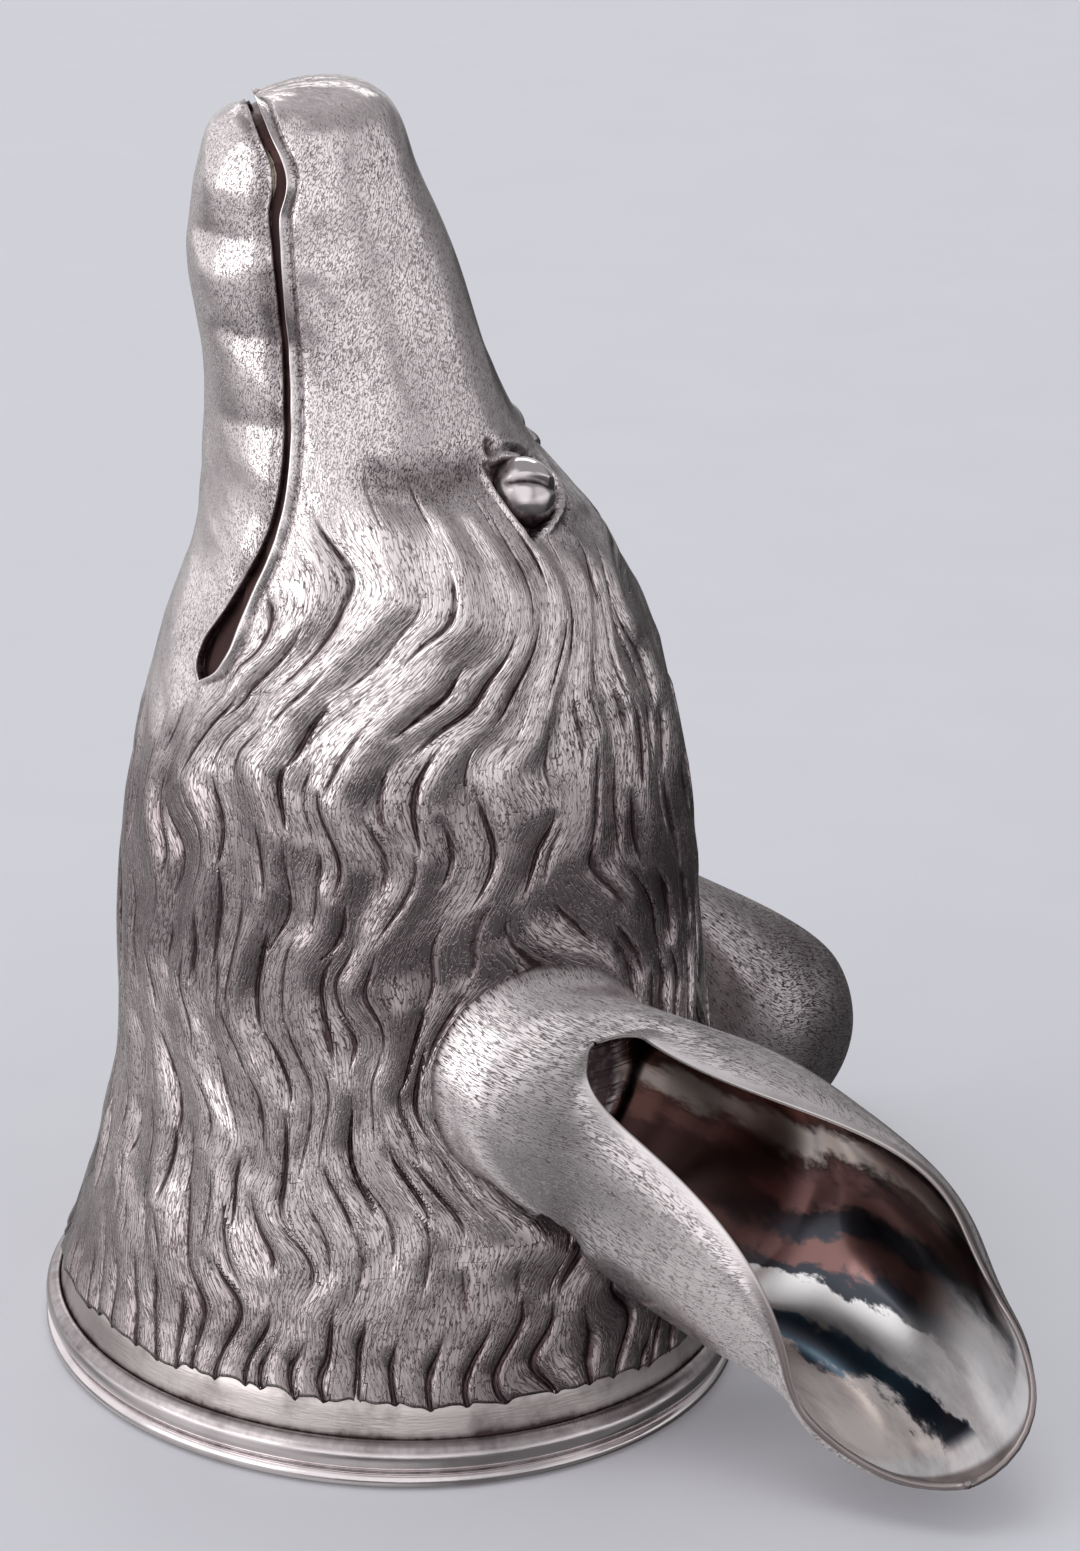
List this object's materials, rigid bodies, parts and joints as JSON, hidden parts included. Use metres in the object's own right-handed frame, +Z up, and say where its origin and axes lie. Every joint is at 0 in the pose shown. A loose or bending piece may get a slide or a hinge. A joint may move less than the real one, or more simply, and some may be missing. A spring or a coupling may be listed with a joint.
{
  "type": "stirrup cup",
  "caption": "Silver stirrup cup shaped as the head of a long-eared animal, muzzle up, standing on its flared drinking lip; open underneath.",
  "frame": {"origin": "centre of the drinking mouth on the resting plane of the lip", "axes": "+Z up from the lip to the muzzle, +X toward the brow and nape, +Y toward the animal's right side"},
  "size_m": [0.1162, 0.1206, 0.1638],
  "materials": {
    "chased_silver": "chased and matted silver with dark tarnish in the grooves",
    "ear_silver": "satin silver outside, mirror bright inside",
    "polished_silver": "polished silver"
  },
  "bodies": {
    "root": {"head_shell": "chased_silver", "mouth_backing": "polished_silver", "left_eye": "polished_silver", "right_eye": "polished_silver", "left_ear": "ear_silver", "right_ear": "ear_silver", "neck_band": "polished_silver", "lip_ring": "polished_silver"}
  },
  "joints": []
}
